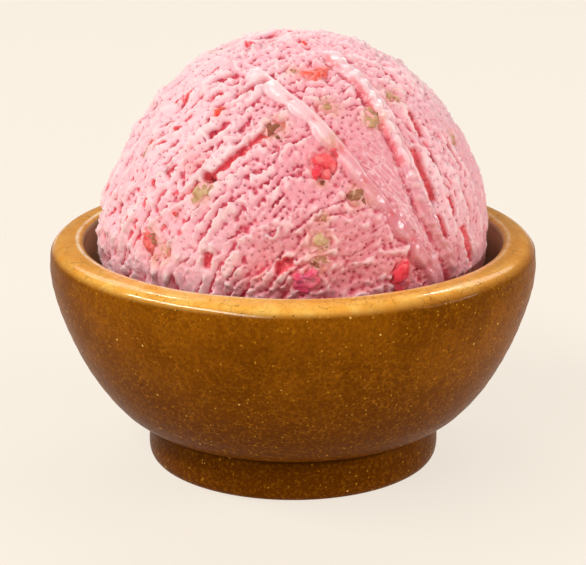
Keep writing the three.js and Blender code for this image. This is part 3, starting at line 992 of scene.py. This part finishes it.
def build_speck_group():
    """Round specks scattered at random: Mask is 1 inside a speck. Share is how many places have one."""
    group = Nodes(bpy.data.node_groups.new("specks", "ShaderNodeTree"))
    new_socket = group.tree.interface.new_socket
    new_socket("Vector", in_out="INPUT", socket_type="NodeSocketVector")
    for name in ("Scale", "Size", "Share"):
        new_socket(name, in_out="INPUT", socket_type="NodeSocketFloat")
    new_socket("Mask", in_out="OUTPUT", socket_type="NodeSocketFloat")
    given = group.node("NodeGroupInput", {})
    cells = group.node("ShaderNodeTexVoronoi", {"Vector": given["Vector"], "Scale": given["Scale"]})
    spot = group.remap(cells["Distance"], group.times(given["Size"], 0.5), given["Size"], 1.0, 0.0)
    split = group.node("ShaderNodeSeparateColor", {"Color": cells["Color"]})
    chosen = group.maths("LESS_THAN", split["Red"], given["Share"])
    group.node("NodeGroupOutput", {"Mask": group.times(spot, chosen)})
    return group.tree


SPECKS = build_speck_group()


class Shader(Nodes):
    """A material's nodes, with its textures, masks and layers of colour."""

    def __init__(self, name):
        self.material = bpy.data.materials.new(name)
        self.material.use_nodes = True
        super().__init__(self.material.node_tree)
        self.coordinates = self.node("ShaderNodeTexCoord", {})["Object"]

    def attribute(self, name):
        return self.node("ShaderNodeAttribute", {}, attribute_name=name)["Fac"]

    def split(self):
        return self.node("ShaderNodeSeparateXYZ", {"Vector": self.coordinates})

    def noise(self, scale, detail=3.0, roughness=0.55, vector=None):
        place = vector or self.coordinates
        inputs = {"Vector": place, "Scale": scale, "Detail": detail, "Roughness": roughness}
        return self.node("ShaderNodeTexNoise", inputs)["Fac"]

    def strings(self, scale, width, vector):
        """A loose web of thin curved lines."""
        bend = self.node("ShaderNodeTexNoise", {"Vector": vector, "Scale": scale * 0.8, "Detail": 2.0})
        shift = self.vectors("SCALE", {0: bend["Color"], "Scale": 1.3 / scale})["Vector"]
        moved = {"Vector": self.vectors("ADD", {0: vector, 1: shift})["Vector"], "Scale": scale}
        cells = self.node("ShaderNodeTexVoronoi", moved, feature="DISTANCE_TO_EDGE")
        return self.remap(cells["Distance"], width, 0.0)

    def crackle(self, scale, width, seed):
        """Fine curved cracks of a glaze, broken off here and there."""
        kept = self.remap(self.noise(scale * 0.55 + seed, 3.0), 0.46, 0.56)
        return self.times(self.strings(scale, width, self.coordinates), kept)

    def specks(self, scale, size, share):
        inputs = {"Vector": self.coordinates, "Scale": scale, "Size": size, "Share": share}
        return self.node("ShaderNodeGroup", inputs, node_tree=SPECKS)["Mask"]

    def stretched(self, way, share):
        """Coordinates squeezed to `share` of their length along one way, where textures then stretch."""
        along = self.vectors("DOT_PRODUCT", {0: self.coordinates, 1: tuple(way)})["Value"]
        part = self.vectors("SCALE", {0: tuple(way), "Scale": self.times(along, 1 - share)})["Vector"]
        return self.vectors("SUBTRACT", {0: self.coordinates, 1: part})["Vector"]

    def layers(self, colour, *steps):
        """A colour with others laid over it in turn, each given as a share and three screen values."""
        for share, over in steps:
            colour = self.mix(share, colour, srgb(*over))
        return colour

    def bump(self, height, distance, strength):
        inputs = {"Height": height, "Distance": distance, "Strength": strength}
        return self.node("ShaderNodeBump", inputs)["Normal"]

    def finish(self, **inputs):
        surface = self.tree.nodes["Principled BSDF"]
        for name, value in inputs.items():
            self.feed(surface.inputs[name.replace("_", " ")], value)
        return self.material


def ice_cream_material():
    shader = Shader("cherry_ice_cream")
    remap, times = shader.remap, shader.times
    hollow_shading, pore, web, mark, tear = map(shader.attribute, ("hollow_shading", "pore", "web", "mark", "tear"))
    split = shader.split()
    sideways, height = split["X"], split["Z"]
    # Painted shade: the pink grows deeper over the middle and right of the ball, more so lower down and just
    # above the lip.
    middle = remap(sideways, -0.02, 0.004, 0.0, 0.9)
    painted_shade = shader.maths("SUBTRACT", middle, remap(sideways, 0.014, 0.028, 0.0, 0.6))
    painted_shade = times(painted_shade, remap(height, 0.077, 0.066, 0.35, 1.0))
    low = times(painted_shade, remap(height, 0.062, 0.046, 0.0, 0.8))
    near_lip_shade = remap(height, 0.052, 0.042, 0.0, 0.15)
    # The blade marks' own deeper translucent pink, laid on more strongly lower down as painted shade.
    clear_and_shade = times(remap(mark, 0.2, 0.9, 0.0, 0.6), remap(height, 0.064, 0.053, 0.1, 1.0))
    # Painted highlight: the upper parts of the blade marks whitened as a glossy sheen.
    painted_highlight = times(remap(mark, 0.2, 0.8), remap(height, 0.062, 0.07, 0.0, 0.38))
    top, bottom = (direction(place) for place in WEB_ENDS)
    strings = times(shader.strings(950.0, 0.12, shader.stretched(unit(bottom - top), 0.2)), web)
    nut = times(shader.attribute("nut_stain"), remap(shader.noise(600.0, 3.0), 0.3, 0.6))
    colour = shader.layers(
        srgb(250, 204, 212),
        (remap(shader.noise(70.0, 4.0), 0.35, 0.65), (247, 188, 199)),
        # painted shade over the middle, right and lower part of the ball, and just above the lip
        (painted_shade, (238, 158, 170)),
        (low, (224, 132, 138)),
        (near_lip_shade, (250, 154, 164)),
        # painted shade in the hollows and painted highlight on the crests
        (remap(hollow_shading, 0.03, 0.75), (206, 68, 92)),
        (remap(hollow_shading, -0.08, -0.8, 0.0, 0.7), (255, 224, 225)),
        (times(web, 0.5), (224, 132, 142)),
        # the marks' translucent pink, with painted shade low down
        (clear_and_shade, (214, 110, 124)),
        # painted highlight on the marks' upper parts
        (painted_highlight, (255, 236, 237)),
        (times(strings, 0.5), (255, 232, 236)),
        # red of the tears, notches and slots, near black-red by the sheer sides: partly the ice cream's own
        # red, partly painted shade
        (remap(tear, 0.0, 0.6), (236, 92, 102)),
        (remap(tear, 0.7, 0.95), (140, 18, 38)),
        (times(nut, 0.8), (214, 160, 112)),
        (times(shader.attribute("cherry_stain"), 0.4), (240, 110, 118)),
        (remap(shader.noise(1700.0, 2.0), 0.55, 0.75, 0.0, 0.35), (255, 226, 222)),
    )
    # Painted shade in the pores: dark mauve, near black-red where they lie in hollows.
    pore_shade = shader.layers(srgb(168, 84, 94), (remap(hollow_shading, 0.1, 0.7), (116, 20, 38)))
    return shader.finish(
        Base_Color=shader.mix(remap(pore, 0.2, 0.85, 0.0, 0.8), colour, pore_shade),
        Roughness=remap(mark, 0.2, 0.9, 0.42, 0.17),
        Subsurface_Weight=0.4,
        Subsurface_Radius=(1.0, 0.45, 0.4),
        Subsurface_Scale=0.0004,
        Coat_Weight=times(mark, 0.6),
        Coat_Roughness=0.1,
        IOR=1.4,
        Normal=shader.bump(shader.noise(1500.0, 3.0), 0.00014, 0.8),
    )


def cherry_material():
    shader = Shader("candied_cherry")
    remap = shader.remap
    tone = shader.attribute("tone")
    flesh = shader.noise(420.0, 4.0)
    cream = shader.times(shader.attribute("buried"), remap(shader.noise(700.0, 3.0), 0.35, 0.6))
    colour = shader.layers(
        srgb(252, 92, 66),
        (remap(tone, 0.0, 0.5), (240, 62, 80)),
        (remap(tone, 0.5, 1.0), (238, 80, 122)),
        (remap(flesh, 0.45, 0.7, 0.0, 0.6), (255, 158, 156)),
        (cream, (250, 136, 138)),
    )
    return shader.finish(
        Base_Color=colour,
        Roughness=remap(flesh, 0.3, 0.7, 0.2, 0.4),
        Subsurface_Weight=0.5,
        Subsurface_Radius=(1.0, 0.25, 0.2),
        Subsurface_Scale=0.0012,
        Normal=shader.bump(shader.noise(900.0, 3.0), 0.0003, 0.8),
    )


def pistachio_material():
    shader = Shader("chopped_pistachio")
    remap = shader.remap
    tone = shader.attribute("tone")
    grain = shader.noise(900.0, 4.0)
    ragged = remap(shader.noise(900.0, 3.0), 0.3, 0.7, -0.5, 0.5)
    cream = shader.maths("ADD", shader.attribute("buried"), ragged)
    colour = shader.layers(
        srgb(216, 186, 134),
        (remap(tone, 0.0, 0.6), (192, 138, 98)),
        (remap(tone, 0.6, 1.0), (144, 72, 44)),
        (remap(shader.noise(330.0, 3.0), 0.45, 0.65, 0.0, 0.6), (160, 98, 66)),
        (remap(grain, 0.5, 0.75, 0.0, 0.7), (236, 198, 168)),
        (shader.times(shader.specks(1100.0, 0.3, 0.5), 0.6), (110, 58, 36)),
        (remap(cream, 0.55, 0.85), (242, 172, 170)),
    )
    return shader.finish(
        Base_Color=colour,
        Roughness=0.55,
        Subsurface_Weight=0.08,
        Subsurface_Radius=(1.0, 0.7, 0.3),
        Subsurface_Scale=0.0006,
        Normal=shader.bump(grain, 0.0003, 0.7),
    )


def bowl_material():
    shader = Shader("caramel_glaze")
    remap, times = shader.remap, shader.times
    split = shader.split()
    height = split["Z"]
    stretch = {"Vector": shader.coordinates, "Scale": (1.0, 1.0, 0.25)}
    streaks = shader.noise(260.0, 4.0, 0.6, shader.node("ShaderNodeMapping", stretch)["Vector"])
    blotches = shader.noise(85.0, 5.0, 0.6)
    mottle = shader.noise(1500.0, 5.0, 0.65)
    body = shader.layers(
        srgb(112, 60, 3),
        (remap(blotches, 0.35, 0.65), (134, 76, 8)),
        # painted shade: the body darker towards the bottom
        (remap(height, 0.034, 0.01), (94, 47, 2)),
        (remap(mottle, 0.5, 0.64, 0.0, 0.3), (168, 102, 10)),
        (remap(mottle, 0.5, 0.38, 0.0, 0.3), (84, 42, 2)),
    )

    level = shader.vectors("MULTIPLY", {0: shader.coordinates, 1: (1.0, 1.0, 0.0)})["Vector"]
    radius = shader.vectors("LENGTH", {0: level})["Value"]

    def ring(middle, wide, narrow):
        """1 on a circle round the lip, fading out over these distances from it."""
        distance = shader.maths("ABSOLUTE", shader.maths("SUBTRACT", radius, middle * MM))
        return remap(distance, wide, narrow)

    # Towards the right, the lip gets more painted shade and less painted highlight.
    at_right = remap(split["X"], -0.01, 0.03)
    outer = remap(radius, (BOWL_RADIUS - 2.1) * MM, (BOWL_RADIUS - 0.9) * MM)
    # Painted highlight: a pale cream line along the lip's inner edge, stronger on the left.
    painted_highlight = times(ring(HIGHLIGHT_LINE_R, 0.0005, 0.0001), remap(streaks, 0.3, 0.6, 0.3, 0.95))
    gold = shader.layers(
        srgb(244, 172, 64),
        (remap(streaks, 0.35, 0.65), (252, 198, 96)),
        # painted shade: deeper amber towards the sides and back of the lip
        (remap(split["Y"], -0.036, -0.014, 0.0, 0.6), (212, 134, 26)),
        # painted shade on the right of the lip: dark amber over its outer edge and a darker band across its
        # middle
        (times(outer, remap(at_right, 0.3, 1.0, 0.0, 0.65)), (172, 98, 8)),
        (times(ring(SHADE_BAND_R, 0.0009, 0.0002), remap(at_right, 0.0, 1.0, 0.15, 0.4)), (204, 138, 36)),
        # painted highlight along the lip's inner edge
        (times(painted_highlight, remap(at_right, 0.0, 1.0, 0.8, 0.4)), (255, 238, 205)),
    )

    lip = remap(height, (BOWL_HEIGHT - 2.2) * MM, (BOWL_HEIGHT - 0.8) * MM)
    golden_lines = shader.crackle(900.0, 0.06, 3)
    dark_lines = shader.crackle(420.0, 0.035, 8)
    # Painted shade: a dark ring in the crease where the foot meets the body.
    crease_shade = times(remap(height, 0.0066, 0.0076), remap(height, 0.0096, 0.0078))
    outside = shader.layers(
        shader.mix(lip, body, gold),
        (times(golden_lines, remap(height, 0.002, 0.02, 0.2, 0.45)), (190, 120, 20)),
        (times(dark_lines, 0.5), (90, 44, 2)),
        (times(shader.specks(900.0, 0.2, 0.4), 0.6), (218, 154, 46)),
        (times(shader.specks(420.0, 0.11, 0.25), 0.8), (240, 190, 96)),
        (times(shader.specks(560.0, 0.14, 0.25), 0.6), (58, 28, 4)),
        # painted shade in the crease above the foot
        (times(crease_shade, 0.85), (44, 18, 0)),
    )
    inside = shader.layers(srgb(168, 134, 100), (remap(blotches, 0.3, 0.7), (192, 160, 124)))
    lines = shader.maths("ADD", golden_lines, dark_lines)
    return shader.finish(
        Base_Color=shader.mix(shader.attribute("inside"), outside, inside),
        Roughness=remap(lip, 0.0, 1.0, 0.32, 0.2),
        Specular_IOR_Level=0.02,
        Specular_Tint=srgb(255, 200, 120),
        Coat_Weight=times(lip, 0.6),
        Coat_Roughness=0.1,
        Coat_IOR=1.8,
        Normal=shader.bump(shader.maths("ADD", times(mottle, 0.8), times(lines, -0.6)), 0.0001, 0.6),
    )


def floor_material():
    return Shader("pale_surface").finish(
        Base_Color=srgb(118, 113, 106),
        Roughness=0.9,
        Specular_IOR_Level=0.1,
        Emission_Color=srgb(*WARM_WHITE),
        Emission_Strength=0.795,
    )


# ---- the studio ----

def make_floor():
    bm = bmesh.new()
    bmesh.ops.create_circle(bm, cap_ends=True, segments=96, radius=FLOOR_RADIUS)
    floor = add_object("floor", new_mesh("floor", bm, floor_material()))


def add_softbox(name, azimuth, elevation, distance, size, power, colour):
    target = Vector(LIGHTS_AIM)
    light = bpy.data.lights.new(name, "AREA")
    light.shape = "RECTANGLE"
    light.size, light.size_y = size
    light.energy = power
    light.color = colour
    lamp = add_object(name, light)
    lamp.location = target + Vector(direction((azimuth, elevation))) * distance
    lamp.rotation_euler = (target - lamp.location).to_track_quat("-Z", "Y").to_euler()


def make_studio():
    make_floor()
    world = bpy.data.worlds.new("studio")
    world.use_nodes = True
    background = world.node_tree.nodes["Background"]
    background.inputs["Color"].default_value = srgb(*WARM_WHITE)
    background.inputs["Strength"].default_value = WORLD_STRENGTH
    bpy.context.scene.world = world
    for name, settings in SOFTBOXES.items():
        add_softbox(name, *settings)
    bpy.context.scene.view_settings.view_transform = "Standard"


def make_camera():
    data = bpy.data.cameras.new("camera")
    data.lens = CAMERA_LENS
    data.sensor_width = SENSOR_WIDTH
    camera = add_object("camera", data)
    camera.location = (0, -CAMERA_DISTANCE, CAMERA_HEIGHT)
    camera.rotation_euler = (math.pi / 2 - CAMERA_PITCH, 0, 0)
    bpy.context.scene.camera = camera


# ---- everything ----

make_camera()
make_studio()
make_bowl()
back_cherries, back_pistachios = back_bits()
cherries = CHERRY_BITS + back_cherries
pistachios = PISTACHIO_BITS + back_pistachios
make_scoop(cherries, pistachios)
make_bits("cherry_pieces", cherries, cherry_material(), 11, (1.0, 0.75, 0.6), 0.32, 7)
make_bits("pistachio_pieces", pistachios, pistachio_material(), 23, (1.0, 0.6, 0.5), 0.36, 8)
